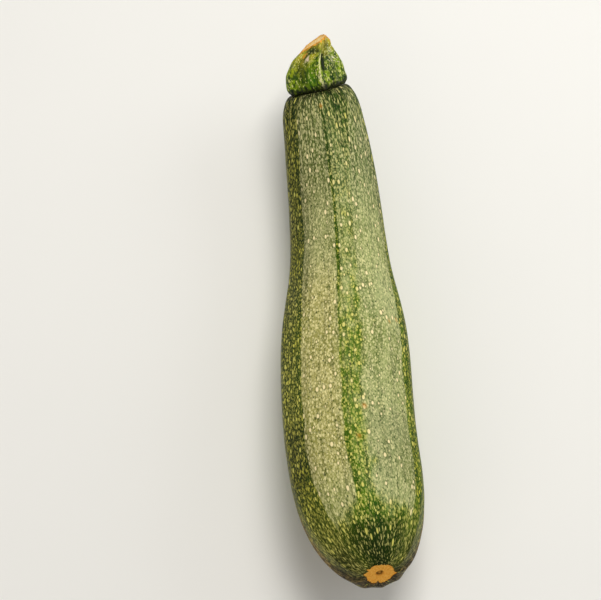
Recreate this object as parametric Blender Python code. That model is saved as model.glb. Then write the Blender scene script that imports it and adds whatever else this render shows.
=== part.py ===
"""A courgette as picked: the fruit, and the stub of stalk that it was cut with.

Frame: metres, +Z up. The courgette lies on the plane z = 0 along Y, with its blossom end
at -Y and its stalk at +Y. The origin is below the middle of its bounding box.
"""

import math

import bmesh
import bpy
import numpy as np
from mathutils import Vector

MM = 0.001

# Driving dimensions
FRUIT_LENGTH = 173.8 * MM
BELLY_RADIUS = 21.3 * MM
SEAT_GAP = 0.3 * MM
WIDER_THAN_HIGH = 1.03

# The spine, the line through the middles of the cross-sections: share of the fruit's length
# from the blossom end, offset to the right
SPINE_SIDEWAYS = (
    (0.00, 3.4 * MM),
    (0.12, 1.1 * MM),
    (0.30, -0.3 * MM),
    (0.50, 1.4 * MM),
    (0.72, 3.1 * MM),
    (0.90, 2.8 * MM),
    (1.00, 1.6 * MM),
)

# Both ends of the fruit turn up: the share of its length where the spine is lowest, then the
# height gained by each end and the power of the curve
SPINE_LOW_SHARE = 0.46
BLOSSOM_END_RISE = 9.0 * MM
BLOSSOM_END_CURVE = 3
STALK_END_RISE = 9.8 * MM
STALK_END_CURVE = 4
SPINE_STEP = 0.005

# Radius of the fruit without its two rounded ends: share of its length, share of the belly's
GIRTH = (
    (0.00, 0.78),
    (0.12, 0.94),
    (0.30, 0.995),
    (0.42, 0.993),
    (0.52, 0.943),
    (0.62, 0.803),
    (0.72, 0.735),
    (0.86, 0.685),
    (1.00, 0.592),
)
DOME_LENGTH = 42 * MM
DOME_POWER = 2.72
DOME_POWER_BELOW = 3.0
SHOULDER_LENGTH = 8.4 * MM
SEAT_RADIUS = 9.4 * MM
SEAT_TILT = math.radians(10)
SEAT_TURN = math.radians(4)
SEAT_TILT_REACH = 18 * MM

# The blossom scar, a corky disc with a pit and the stub of the style standing in it:
# distance below the end of the fruit, radius, how much of the ribs shows there
SCAR_RADIUS = 5.0 * MM
SCAR_RINGS = (
    (0.60 * MM, 0.0, 0.0),
    (0.60 * MM, 0.6 * MM, 0.0),
    (1.20 * MM, 0.8 * MM, 0.0),
    (1.20 * MM, 1.2 * MM, 0.0),
    (0.20 * MM, 1.5 * MM, 0.0),
    (0.10 * MM, 3.0 * MM, 0.0),
    (0.00 * MM, 4.5 * MM, 0.1),
    (-0.25 * MM, SCAR_RADIUS, 0.2),
)

# Ten ribs run the length of the fruit, with nearly flat faces between them: degrees round
# from the top, towards -X
RIB_ANGLES = (0, 38, 73, 110, 147, 183, 219, 255, 291, 325)
RIB_ROUNDING = 0.8
FACE_HOLLOW = 0.028
RIBS_AT_SCAR = 3.5
RIBS_AT_SCAR_REACH = 6 * MM

# The fruit lies pitched down towards its stalk, which puts its weight over its lowest place,
# on a small flat spot cut there
LYING_PITCH = math.radians(3.3)
GROUND_SPOT_CUT = 0.6 * MM

# The stalk: height above the seat, half its width, half its depth, offset to the right
STALK_PROFILE = (
    (0.0 * MM, 9.2 * MM, 9.2 * MM, -0.2 * MM),
    (1.2 * MM, 10.0 * MM, 9.9 * MM, -0.3 * MM),
    (3.2 * MM, 10.3 * MM, 10.4 * MM, -0.4 * MM),
    (5.2 * MM, 10.1 * MM, 10.3 * MM, -0.3 * MM),
    (8.6 * MM, 9.0 * MM, 9.5 * MM, 0.1 * MM),
    (11.3 * MM, 7.3 * MM, 8.3 * MM, 0.9 * MM),
    (13.3 * MM, 5.6 * MM, 7.3 * MM, 2.0 * MM),
    (15.0 * MM, 4.3 * MM, 6.6 * MM, 3.0 * MM),
    (17.0 * MM, 3.6 * MM, 6.0 * MM, 3.5 * MM),
    (20.0 * MM, 3.3 * MM, 5.7 * MM, 3.7 * MM),
)
STALK_RIBS = 5
STALK_RIB_TURN = math.radians(12)
RIB_SHARPNESS = 3
FURROW_DEPTH = 0.16
FURROW_DEPTH_AT_FOOT = 0.09
FOOT_FADE = 6 * MM
FURROW_SHARE_OUTWARD = 0.75
LESSER_RIB = 0.02
CUT_MIDDLE = 16.5 * MM
CUT_RISE_RIGHT = 0.28
CUT_FALL_TOP = 0.09
CUT_DISH = 0.4 * MM

# Rings of the knife cut: share of its width, share of the dish's depth
CUT_RINGS = ((0.82, 0.0), (0.4, 1.0))

# Steps of the two meshes
STEPS_PER_FACE = 6
DOME_STEPS = 11
BODY_STEPS = 24
SHOULDER_STEPS = 7
STALK_STEPS = 50
STALK_SIDE_STEPS = 15
STALK_STEP_GROWTH = 1.2
UNDER_FOOT_RING = 0.5
CUT_TRIES = 8

# Edges that turn by more degrees than this are sharp
FRUIT_SHARP_FROM = 35
STALK_SHARP_FROM = 40


def smooth_through(points, at):
    """Reads the natural cubic spline through points of (x, y) at the given x."""
    x = np.array([p[0] for p in points], float)
    y = np.array([p[1] for p in points], float)
    run, rise = np.diff(x), np.diff(y)
    matrix = np.eye(len(x))
    wanted = np.zeros(len(x))
    for k in range(1, len(x) - 1):
        matrix[k, k - 1 : k + 2] = run[k - 1], 2 * (run[k - 1] + run[k]), run[k]
        wanted[k] = 6 * (rise[k] / run[k] - rise[k - 1] / run[k - 1])
    bend = np.linalg.solve(matrix, wanted)
    k = int(np.clip(np.searchsorted(x, at, side="right") - 1, 0, len(x) - 2))
    before, after = at - x[k], x[k + 1] - at
    return (
        (bend[k] * after**3 + bend[k + 1] * before**3) / (6 * run[k])
        + (y[k] / run[k] - bend[k] * run[k] / 6) * after
        + (y[k + 1] / run[k] - bend[k + 1] * run[k] / 6) * before
    )


def spine_height(share):
    """Height of the spine above its lowest point."""
    if share < SPINE_LOW_SHARE:
        out = 1 - share / SPINE_LOW_SHARE
        return BLOSSOM_END_RISE * out**BLOSSOM_END_CURVE
    out = (share - SPINE_LOW_SHARE) / (1 - SPINE_LOW_SHARE)
    return STALK_END_RISE * out**STALK_END_CURVE


def spine_place(along):
    """Spine point that far from the blossom end, past which it runs straight, and its course."""
    share = min(max(along / FRUIT_LENGTH, 0.0), 1.0)
    beyond = along - share * FRUIT_LENGTH

    def at(s):
        return np.array(
            [smooth_through(SPINE_SIDEWAYS, s), (s - 0.5) * FRUIT_LENGTH, spine_height(s)]
        )

    forward = at(min(share + SPINE_STEP, 1.0)) - at(max(share - SPINE_STEP, 0.0))
    forward /= np.linalg.norm(forward)
    return at(share) + beyond * forward, forward


def ring_axes(forward):
    """Two directions across the spine: to the right and upward."""
    right = np.cross(forward, (0.0, 0.0, 1.0))
    right /= np.linalg.norm(right)
    return right, np.cross(right, forward)


def girth(along, turn):
    """Radius of the fruit that far from the blossom end, at an array of angles.

    Its dome is blunter below than above, and its shoulder rounds down to the seat.
    """
    radius = BELLY_RADIUS * smooth_through(GIRTH, min(along / FRUIT_LENGTH, 1.0))
    left = max(0.0, 1 - along / DOME_LENGTH)
    power = DOME_POWER + (DOME_POWER_BELOW - DOME_POWER) * np.maximum(-np.sin(turn), 0) ** 2
    dome = (1 - left**power) ** (1 / power)
    radius = np.hypot(radius * dome, SCAR_RADIUS * left**3)
    past = max(0.0, along - FRUIT_LENGTH + SHOULDER_LENGTH) / SHOULDER_LENGTH
    return SEAT_RADIUS + (radius - SEAT_RADIUS) * math.sqrt(max(0.0, 1 - past**2))


def seat_lean(along):
    """How far the cross-section leans back there: the seat faces up a little, and turns."""
    share = max(0.0, 1 - (FRUIT_LENGTH - along) / SEAT_TILT_REACH) ** 2
    return math.tan(SEAT_TILT) * share, math.tan(SEAT_TURN) * share


def skin_stations():
    """Distances from the blossom end of the rings between the scar and the seat."""
    start = FRUIT_LENGTH - SHOULDER_LENGTH
    dome = [DOME_LENGTH * (k / DOME_STEPS) ** 2 for k in range(1, DOME_STEPS + 1)]
    body = list(np.linspace(DOME_LENGTH, start, BODY_STEPS + 1)[1:])
    quarter = [math.pi / 2 * k / SHOULDER_STEPS for k in range(1, SHOULDER_STEPS + 1)]
    return dome + body + [start + SHOULDER_LENGTH * math.sin(a) for a in quarter]


def face_angles():
    """Angles round the fruit, with a line on each rib: angle, and how far across its face."""
    angles = []
    for k, start in enumerate(RIB_ANGLES):
        end = RIB_ANGLES[(k + 1) % len(RIB_ANGLES)]
        width = (end - start) % 360
        for step in range(STEPS_PER_FACE):
            across = step / STEPS_PER_FACE
            angles.append((math.radians(90 + start + width * across), 2 * across - 1))
    return angles


def rib_height(across):
    """0 in the middle of a face, and the most on a rib, whose crest is rounded."""
    x, c = abs(across), RIB_ROUNDING
    if x < c:
        return x * x
    return c * c + 2 * c * (x - c) - c / (1 - c) * (x - c) ** 2


def fruit_rings():
    """Points of the fruit's skin, ring by ring from the scar to the seat."""
    angles = face_angles()
    turn = np.array([a for a, _ in angles])
    hollow = np.array([RIB_ROUNDING - rib_height(x) for _, x in angles])

    def ring(along, radius, relief):
        middle, forward = spine_place(along)
        right, up = ring_axes(forward)
        tilt, aside = seat_lean(along)
        r = radius * (1 - FACE_HOLLOW * relief * hollow)
        across = (r * WIDER_THAN_HIGH * np.cos(turn))[:, None]
        above = (r / WIDER_THAN_HIGH * np.sin(turn))[:, None]
        return middle + across * (right + aside * forward) + above * (up - tilt * forward)

    rings = [[spine_place(SCAR_RINGS[0][0])[0]]]
    rings += [ring(*station) for station in SCAR_RINGS[1:]]
    for along in skin_stations():
        relief = 1 + (RIBS_AT_SCAR - 1) * math.exp(-along / RIBS_AT_SCAR_REACH)
        rings.append(ring(along, girth(along, turn), relief))
    rings.append([spine_place(FRUIT_LENGTH)[0]])
    return rings


def stalk_section(height, angle):
    """Across and above the stalk's middle line, on its surface at that height and angle.

    It has five ribs with furrows between them, which spread into feet below.
    """
    rows = [[(p[0], p[column]) for p in STALK_PROFILE] for column in (1, 2)]
    width, depth = [smooth_through(row, height) for row in rows]
    turn = STALK_RIBS * (angle - STALK_RIB_TURN)
    crest = abs(math.cos(turn / 2)) ** RIB_SHARPNESS
    fade = math.exp(-height / FOOT_FADE)
    furrow = FURROW_DEPTH + (FURROW_DEPTH_AT_FOOT - FURROW_DEPTH) * fade
    swell = 1 - furrow * (FURROW_SHARE_OUTWARD - crest) + LESSER_RIB * math.cos(2 * turn)
    return swell * width * math.cos(angle), swell * depth * math.sin(angle)


def cut_height(across, above):
    """Height of the slanted knife cut at that place of the stalk's section."""
    return CUT_MIDDLE + CUT_RISE_RIGHT * across - CUT_FALL_TOP * above


def stalk_top(angle):
    """Height at which the knife cut meets that side of the stalk."""
    height = CUT_MIDDLE
    for _ in range(CUT_TRIES):
        height = cut_height(*stalk_section(height, angle))
    return height


def seat_axes():
    """The way the seat faces, and its two directions: to the right and upward."""
    _, course = spine_place(FRUIT_LENGTH)
    right, up = ring_axes(course)
    right = right + math.tan(SEAT_TURN) * course
    up = up - math.tan(SEAT_TILT) * course
    forward = np.cross(up, right)
    forward /= np.linalg.norm(forward)
    right /= np.linalg.norm(right)
    return forward, right, np.cross(right, forward)


def stalk_rings():
    """Points of the stalk, ring by ring from under its foot to the middle of the cut."""
    angles = [2 * math.pi * k / STALK_STEPS for k in range(STALK_STEPS)]
    tops = [stalk_top(a) for a in angles]
    forward, right, up = seat_axes()
    foot = spine_place(FRUIT_LENGTH)[0] + SEAT_GAP * forward
    sideways = [(p[0], p[3]) for p in STALK_PROFILE]

    def place(height, across, above):
        x = across + smooth_through(sideways, height)
        return foot + height * forward + x * right + above * up

    under = [stalk_section(0.0, a) for a in angles]
    half = UNDER_FOOT_RING
    rings = [[place(0.0, 0.0, 0.0)], [place(0.0, half * x, half * z) for x, z in under]]
    for k in range(STALK_SIDE_STEPS + 1):
        share = (k / STALK_SIDE_STEPS) ** STALK_STEP_GROWTH
        heights = [share * top for top in tops]
        rings.append([place(h, *stalk_section(h, a)) for h, a in zip(heights, angles)])
    rim = [stalk_section(top, a) for top, a in zip(tops, angles)]
    for inward, sunk in CUT_RINGS:
        cut = [(inward * x, inward * z) for x, z in rim]
        rings.append([place(cut_height(x, z) - sunk * CUT_DISH, x, z) for x, z in cut])
    rings.append([place(CUT_MIDDLE - CUT_DISH, 0.0, 0.0)])
    return rings


def laid_down(rings):
    """The rings turned about X, so that the stalk end sinks by the lying pitch."""
    c, s = math.cos(LYING_PITCH), math.sin(LYING_PITCH)
    turn = np.array([[1, 0, 0], [0, c, s], [0, -s, c]])
    return [np.asarray(ring) @ turn.T for ring in rings]


def to_origin(fruit, stalk):
    """The shift that puts the origin below the middle, with a thin slice below z = 0."""
    points = np.concatenate(fruit + stalk)
    low, high = points.min(axis=0), points.max(axis=0)
    middle = (low + high) / 2
    return np.array([-middle[0], -middle[1], -low[2] - GROUND_SPOT_CUT])


def mesh_of_rings(name, rings, shift):
    """A closed mesh skinned over rings of points, whose first and last are single points."""
    mesh = bmesh.new()
    made = [[mesh.verts.new(Vector(p + shift)) for p in ring] for ring in rings]
    for low, high in zip(made, made[1:]):
        count = max(len(low), len(high))
        for k in range(count):
            n = (k + 1) % count
            if len(low) == 1:
                mesh.faces.new((low[0], high[n], high[k]))
            elif len(high) == 1:
                mesh.faces.new((low[k], low[n], high[0]))
            else:
                mesh.faces.new((low[k], low[n], high[n], high[k]))
    bmesh.ops.recalc_face_normals(mesh, faces=mesh.faces)
    data = bpy.data.meshes.new(name)
    mesh.to_mesh(data)
    mesh.free()
    return data


def cut_ground_spot(data):
    """Takes the slice below z = 0 off the fruit, which leaves it a small flat spot to lie on."""
    mesh = bmesh.new()
    mesh.from_mesh(data)
    everything = mesh.verts[:] + mesh.edges[:] + mesh.faces[:]
    cut = bmesh.ops.bisect_plane(
        mesh, geom=everything, plane_co=(0, 0, 0), plane_no=(0, 0, -1), clear_outer=True
    )
    edge = [e for e in cut["geom_cut"] if isinstance(e, bmesh.types.BMEdge)]
    bmesh.ops.contextual_create(mesh, geom=edge)
    bmesh.ops.recalc_face_normals(mesh, faces=mesh.faces)
    mesh.to_mesh(data)
    mesh.free()


def material(name, colour, roughness):
    made = bpy.data.materials.new(name)
    made.use_nodes = True
    shader = made.node_tree.nodes["Principled BSDF"]
    shader.inputs["Base Color"].default_value = (*colour, 1)
    shader.inputs["Roughness"].default_value = roughness
    shader.inputs["Metallic"].default_value = 0
    return made


def add_object(name, data, finish, sharp_from):
    obj = bpy.data.objects.new(name, data)
    bpy.context.scene.collection.objects.link(obj)
    data.materials.append(finish)
    data.shade_smooth()
    data.set_sharp_from_angle(angle=math.radians(sharp_from))


def main():
    for old in list(bpy.data.objects):
        bpy.data.objects.remove(old)
    fruit, stalk = laid_down(fruit_rings()), laid_down(stalk_rings())
    shift = to_origin(fruit, stalk)
    skin = mesh_of_rings("fruit", fruit, shift)
    cut_ground_spot(skin)
    green = material("courgette_skin", (0.10, 0.17, 0.04), 0.4)
    add_object("fruit", skin, green, FRUIT_SHARP_FROM)
    stub = mesh_of_rings("stalk", stalk, shift)
    vivid_green = material("courgette_stalk", (0.13, 0.26, 0.03), 0.55)
    add_object("stalk", stub, vivid_green, STALK_SHARP_FROM)


main()
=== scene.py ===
"""The looks of a courgette as picked: its mottled skin, and the stub of its stalk.

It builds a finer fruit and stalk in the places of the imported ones. Their dimensions are the
same, apart from a steeper cut of the stalk and the finer relief of both.
Units are metres, +Z up. The courgette lies along Y, with its blossom end at -Y.
"""

import math

import bpy
import numpy as np
from mathutils import Matrix, Vector


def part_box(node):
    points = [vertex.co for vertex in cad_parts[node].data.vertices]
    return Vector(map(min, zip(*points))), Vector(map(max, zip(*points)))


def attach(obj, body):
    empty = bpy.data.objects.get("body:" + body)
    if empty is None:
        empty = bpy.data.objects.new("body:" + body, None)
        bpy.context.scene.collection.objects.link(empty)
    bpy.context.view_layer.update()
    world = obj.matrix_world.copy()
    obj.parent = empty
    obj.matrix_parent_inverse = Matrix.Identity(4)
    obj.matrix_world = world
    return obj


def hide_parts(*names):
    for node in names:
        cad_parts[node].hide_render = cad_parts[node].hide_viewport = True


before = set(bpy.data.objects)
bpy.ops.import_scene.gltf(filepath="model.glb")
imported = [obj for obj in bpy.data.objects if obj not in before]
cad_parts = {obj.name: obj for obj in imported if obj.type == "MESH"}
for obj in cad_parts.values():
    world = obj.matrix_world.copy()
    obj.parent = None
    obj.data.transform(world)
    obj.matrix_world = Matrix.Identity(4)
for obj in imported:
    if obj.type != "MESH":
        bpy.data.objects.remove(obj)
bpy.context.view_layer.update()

MM = 0.001

# The fruit, as its solid was built
FRUIT_LENGTH = 173.8 * MM
BELLY_RADIUS = 21.3 * MM
SEAT_GAP = 0.3 * MM
WIDER_THAN_HIGH = 1.03
SPINE_SIDEWAYS = (
    (0.00, 3.4 * MM), (0.12, 1.1 * MM), (0.30, -0.3 * MM), (0.50, 1.4 * MM),
    (0.72, 3.1 * MM), (0.90, 2.8 * MM), (1.00, 1.6 * MM),
)
SPINE_LOW_SHARE = 0.46
BLOSSOM_END_RISE = 9.0 * MM
BLOSSOM_END_CURVE = 3
STALK_END_RISE = 9.8 * MM
STALK_END_CURVE = 4
SPINE_STEP = 0.005
GIRTH = (
    (0.00, 0.78), (0.12, 0.94), (0.30, 0.995), (0.42, 0.993), (0.52, 0.943),
    (0.62, 0.803), (0.72, 0.735), (0.86, 0.685), (1.00, 0.592),
)
DOME_LENGTH = 42 * MM
DOME_POWER = 2.72
DOME_POWER_BELOW = 3.0
SHOULDER_LENGTH = 8.4 * MM
SEAT_RADIUS = 9.4 * MM
SEAT_TILT = math.radians(10)
SEAT_TURN = math.radians(4)
SEAT_TILT_REACH = 18 * MM
RIB_ANGLES = (0, 38, 73, 110, 147, 183, 219, 255, 291, 325)
RIB_ROUNDING = 0.8
FACE_HOLLOW = 0.028
RIBS_AT_SCAR = 3.5
RIBS_AT_SCAR_REACH = 6 * MM
RIBS_ON_SCAR = 0.2
LYING_PITCH = math.radians(3.3)
GROUND_SPOT_CUT = 0.6 * MM

# The blossom scar, and its profile in millimetres: distance from its middle, depth below the
# end of the fruit
SCAR_RADIUS = 5.0 * MM
SCAR_PROFILE = MM * np.array([
    (0.00, 0.60), (0.30, 0.60), (0.50, 0.80), (0.65, 1.10), (0.95, 1.10),
    (1.25, 0.35), (1.60, 0.15), (3.20, 0.08), (4.50, 0.00), (5.00, -0.25),
])

# Its ragged edge has tabs: degrees round from the right, share of its radius, width in degrees
SCAR_EDGE = 0.88
SCAR_TABS = (
    (-12, 0.20, 9),
    (40, 0.12, 17),
    (90, 0.12, 30),
    (112, 0.14, 16),
    (135, 0.24, 6),
    (161, 0.20, 11),
    (240, 0.08, 12),
    (256, -0.16, 6),
    (280, 0.05, 8),
    (325, -0.06, 12),
)
SCAR_FRAY = 0.035
SCAR_TAB_REACH = 1.4 * MM
SCAR_LIFT = 0.8 * MM
SCAR_LIFT_REACH = 4 * MM

# Where its colour fades in, as shares of its radius, and where its pit is darkest
SCAR_FADE = (1.0, 0.92)
SCAR_PIT_DEPTH = 1.2 * MM

# Random relief of the skin: height, the distance over which it varies, and a seed
SWELLING = (0.14 * MM, 26 * MM, 3)
DIMPLES = (0.035 * MM, 5 * MM, 4)
SCAR_CORK = (0.06 * MM, 1.1 * MM, 5)
NOISE_WAVES = 28
NOISE_PITCH = (0.6, 1.3)

# Fine flutes of the shoulder
FLUTES = 30
FLUTE_DEPTH = 0.40 * MM
FLUTE_REACH = 6 * MM

# The stalk, as its solid was built, in millimetres: height, half width, half depth, offset to
# the right
STALK_PROFILE = MM * np.array([
    (0.0, 9.2, 9.2, -0.2),
    (1.2, 10.0, 9.9, -0.3),
    (3.2, 10.3, 10.4, -0.4),
    (5.2, 10.1, 10.3, -0.3),
    (8.6, 9.0, 9.5, 0.1),
    (11.3, 7.3, 8.3, 0.9),
    (13.3, 5.6, 7.3, 2.0),
    (15.0, 4.3, 6.6, 3.0),
    (17.0, 3.6, 6.0, 3.5),
    (20.0, 3.3, 5.7, 3.7),
])
STALK_RIBS = 5
STALK_RIB_TURN = math.radians(12)
RIB_SHARPNESS = 3
FURROW_DEPTH = 0.16
FURROW_DEPTH_AT_FOOT = 0.09
FOOT_FADE = 6 * MM
FURROW_SHARE_OUTWARD = 0.75
LESSER_RIB = 0.02

# The knife cut, which is steeper than the solid's and broken off at its outer tip
CUT_MIDDLE = 16.3 * MM
CUT_RISE_RIGHT = 0.44
CUT_BEVEL_FROM = 2.9 * MM
CUT_BEVEL = 2.0
CUT_FALL_TOP = 0.05
CUT_DISH = 0.4 * MM
CUT_TRIES = 8

# Random relief of the stalk, as for the skin, and its rate along the stalk
STALK_LUMPS = (0.22 * MM, 3.6 * MM, 21)
STALK_LUMPS_RATE = 0.6
STALK_FIBRES = (0.07 * MM, 1.2 * MM, 22)
STALK_FIBRES_RATE = 0.15
FIBRES_ON_CUT = 0.5

# A sharp ridge on each rib of the stalk, with a groove beside it: degrees round, and pairs of
# heights between which something comes or goes
RIDGE_HEIGHT = 0.45 * MM
RIDGE_WIDTH = 3.0
RIDGE_WIDTH_AT_FOOT = 7.0
RIDGE_FOOT_REACH = 4 * MM
MAIN_RIB = 1
OTHER_RIBS = 0.35
RIDGE_ENDS = (11 * MM, 14 * MM)
RIDGE_WANDER = 4.0
RIDGE_WANDER_OVER = 2.6 * MM
RIDGE_SHIFT = 2.1
RIDGE_LEAN = 5.0
RIDGE_LEANS = (2 * MM, 7 * MM)
GROOVE_DEPTH = 1.2 * MM
GROOVE_WIDTH = 8.0
GROOVE_ASIDE = 12.0
GROOVE_STARTS = (4 * MM, 8 * MM)
GROOVE_ENDS = (10.5 * MM, 13.5 * MM)

# Coloured spots of the stalk, one of them a painted shadow under the lip of the cut: degrees round,
# millimetres up, half size in degrees and millimetres
STALK_SPOTS = {
    "torn": (114, 11.0, 9, 1.5),
    "rusty": (130, 12.2, 12, 1.2),
    "yellow": (128, 10.5, 26, 3.4),
    "vivid": (101, 5.5, 9, 6.0),
    "bristly": (34, 11.0, 22, 4.5),
    "dotted": (160, 3.6, 22, 2.6),
    # painted shadow under the lip of the cut
    "painted_lip_shadow": (104, 13.2, 20, 0.9),
}
SPECKLED_SIDE = math.radians(25)
SPECKLED_REACH = (0.3, 0.9)
CUT_FRAY_REACH = 1.6 * MM

# Steps of the two meshes
FRUIT_STEPS_ROUND = 288
SCAR_STEPS = 26
DOME_STEPS = 90
BODY_STEPS = 176
SHOULDER_STEPS = 26
SEAT_RINGS = (0.6, 0.0)
STALK_STEPS_ROUND = 216
STALK_STEPS_UP = 80
STALK_CROWDING = 1.2
UNDER_FOOT_RINGS = (0.0, 0.5, 0.85)
CUT_STEPS = 14

# Pale bands of the skin, partly its own paler green and partly painted sheen, the reflection of the
# soft lights: how pale, the left and the right edge by share of the length from the blossom end and
# degrees from the top, positive to the right, and how soft each edge is
LEFT_BAND_LEFT = (
    (0, -38), (0.12, -43.5), (0.22, -47), (0.31, -44), (0.39, -42),
    (0.48, -42), (0.58, -44), (0.65, -44.5), (0.80, -48), (1, -43),
)
LEFT_BAND_RIGHT = ((0, -8), (0.2, -9), (0.4, -6), (0.8, -4), (1, 0))
RIGHT_BAND_LEFT = ((0, 9), (0.2, 9), (0.4, 13), (0.6, 13), (0.8, 18), (1, 36))
RIGHT_BAND_RIGHT = ((0, 58), (0.5, 58), (0.6, 62), (0.7, 67), (1, 67))
PALE_AND_SHEEN_BANDS = (
    (1.0, LEFT_BAND_LEFT, LEFT_BAND_RIGHT, 2.6, 2.0),
    (0.95, RIGHT_BAND_LEFT, RIGHT_BAND_RIGHT, 9.5, 3.4),
    (0.50, ((0, 112), (1, 106)), ((0, 130), (1, 124)), 4.0, 4.0),
    (0.55, ((0, 158), (1, 152)), ((0, 180), (1, 178)), 4.0, 4.0),
    (0.50, ((0, -152), (1, -140)), ((0, -134), (1, -118)), 4.0, 4.0),
)
BANDS_START = (
    (-180, 0.10), (-45, 0.065), (-30, 0.08), (-15, 0.092), (-4, 0.11), (12, 0.105),
    (30, 0.09), (45, 0.088), (55, 0.09), (70, 0.08), (180, 0.10),
)
BANDS_START_FADE = 0.04
BANDS_LOSS_AT_SHOULDER = 0.4
BANDS_SHOULDER = (0.86, 0.98)

# Wandering of the bands' edges in degrees and of their start, noted as the random relief is
EDGE_WANDER = (1.6, 14 * MM, 11)
FINER_EDGE_WANDER = (0.8, 5 * MM, 12)
START_WANDER = (0.012, 6 * MM, 13)

# The darker stripe between the two top bands: its left and right edge in degrees, and how pale it
# is along the fruit, which is partly painted sheen. Here and below, a soft edge is a pair: where it
# starts and where it ends
STRIPE_EDGES = ((-10, -4), (20, 40))
STRIPE_PALENESS_AND_SHEEN = ((0.1, 0.18), (0.3, 0.32), (0.5, 0.42), (0.64, 0.58), (1.0, 0.46))

# Its yellow-green stretch: left and right edge in degrees, start and end along the fruit
VIVID_EDGES = ((-8, -4), (10, 18))
VIVID_ENDS = ((0.08, 0.16), (0.50, 0.62))

# Dark lines of the skin: degrees from the top, half width in degrees, depth, start, end
DARK_LINES = (
    (-4.0, 1.7, 0.85, 0.55, 0.97),
    (-5.0, 1.5, 0.45, 0.10, 0.58),
    (-49.5, 2.4, 0.90, 0.66, 1.00),
    (-47.0, 2.0, 0.45, 0.12, 0.70),
    (10.0, 1.6, 0.35, 0.36, 0.58),
    (26.0, 3.0, 0.25, 0.12, 0.60),
    (15.0, 3.0, 0.40, 0.13, 0.22),
)
LINE_FADE = 0.04
LINE_WANDER = 0.5

# Parts of the skin with their own colours, and places of painted light and shade, in degrees from
# the top and shares of the length
OLIVE_SIDE = -68
OLIVE_WIDTH = 40
WARM_SIDE = (-14, 6)
WARM_STARTS = (0.10, 0.22)
WARM_ENDS = (0.52, 0.66)
WARM_BEFORE = 0.4
WARM_LOSS_AFTER = 0.7
# The middle of the blossom end is darker, partly its own darker green and partly painted shade
# where it faces away from the light
BLOSSOM_END = (0.01, 0.11)
DARK_END_MIDDLE = 4
DARK_END_WIDTH = 34
DARK_END_LEAST = 0.3
# Painted light on the flanks of the blossom end, reaching further on the left
LIT_FLANK_START = 0.03
LIT_FLANK_END = 0.13
LIT_FLANK_END_FURTHER = 0.06
LIT_FLANK_LEFT_SIDE = (0, 30)
# A brown underside low on the sides near the blossom end: partly a ground spot and partly a painted
# warm reflection along the lower rim
EARTHY_AND_REFLECTION_END = (0.12, 0.26)
EARTHY_AND_REFLECTION_SIDES = (84, 100)
NECK = (0.62, 0.90)
SHOULDER = (0.93, 1.0)

# Darker places of the skin, partly its own darker tone and partly painted shade: at the seat under
# the stalk, along both sides that turn from the light, and on and under the blossom end. How dark,
# middle and half length as shares of the length, middle and half width in degrees
DARK_TONE_AND_SHADE_PLACES = (
    (0.30, 1.00, 0.24, 0, 200),
    # painted shade in the seam under the stalk
    (0.50, 1.00, 0.008, 0, 200),
    # painted shade on the left side, which turns from the light
    (0.28, 0.66, 0.14, -60, 26),
    (0.14, 0.70, 0.14, -25, 26),
    (0.44, 0.235, 0.066, -66, 24),
    (0.20, 0.82, 0.16, -64, 18),
    # painted shade along the right side
    (0.40, 0.45, 0.40, 82, 22),
    (0.20, 0.22, 0.08, 36, 22),
    # painted shade on the blossom end, which faces away from the light, and under it
    (0.40, 0.02, 0.045, 5, 40),
    (0.75, 0.00, 0.042, 180, 118),
    (0.20, 0.00, 0.05, -115, 60),
)
PLACE_ENDS_FADE = (0.6, 1.4)
PLACE_SIDES_FADE = (0.7, 1.3)

# Small corky spots of the skin: share of the length, degrees from the top, half length
BLEMISHES = (
    (0.498, 54, 0.7 * MM),
    (0.488, 43, 0.6 * MM),
    (0.301, 12, 0.9 * MM),
    (0.965, -4, 0.9 * MM),
    (0.235, 4, 0.8 * MM),
)
BLEMISH_WIDTH = 0.8

# How fast the flecks vary along the fruit: rate in the middle, what it loses at either end
FLECK_RATE = 0.60
FLECK_RATE_LOSS = 0.34
FLECK_LOSS_REACH = 20 * MM
FLECK_NECK_LOSS = 0.04
FLECK_NECK = (0.5, 0.8)
FLECK_CROWDING = 0.2
FLECK_ROWS = 72
STREAK_RATE = 0.1
STALK_STREAK_RATE = 0.25

# Layers of spots on the skin and the stalk: cells to a millimetre, how uneven the spots are in
# size, how soft at the edge, and how much weaker the weakest are
FLECKS = (1.5, 0.42, 0.32, 0.6)
ROUNDER_FLECKS = (1.0, 0.5, 0.3, 0.35)
FINER_FLECKS = (2.5, 0.5, 0.4, 0.7)
PORES = (1.7, 0.5, 0.4, 0.0)
WELLS = (0.5, 0.6, 0.4, 0.0)
STALK_FLECKS = (1.7, 0.6, 0.5, 0.7)
STALK_PORES = (2.4, 0.5, 0.5, 0.5)
STALK_DOTS = (0.9, 0.5, 0.5, 0.4)
STALK_BRISTLES = (1.5, 0.5, 0.6, 0.5)

# Sparse larger spots of the skin: cells to a millimetre, largest radius as a share of a cell,
# and how uneven in size
LARGE_SPOTS = (0.42, 0.26, 0.45)

# How far the pores' pattern lies from that of the flecks, in millimetres
PORES_SHIFT = (31, 17, 53)

# Colours as on a screen, out of 255, and in pairs where a colour varies between two. These are
# of the skin between its flecks
GREEN = ((40, 84, 0), (76, 116, 0))
OLIVE_GREEN = (48, 60, 0)
# Painted light on the flanks of the blossom end
VIVID_GREEN = (84, 118, 0)
LIT_FLANK_GREEN = (96, 102, 26)
# Of the blossom end, partly darker green and partly painted shade
END_GREEN = (16, 34, 0)
# Partly a ground spot, partly a painted warm reflection
EARTHY_AND_REFLECTED_BROWN = (70, 52, 14)
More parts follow.
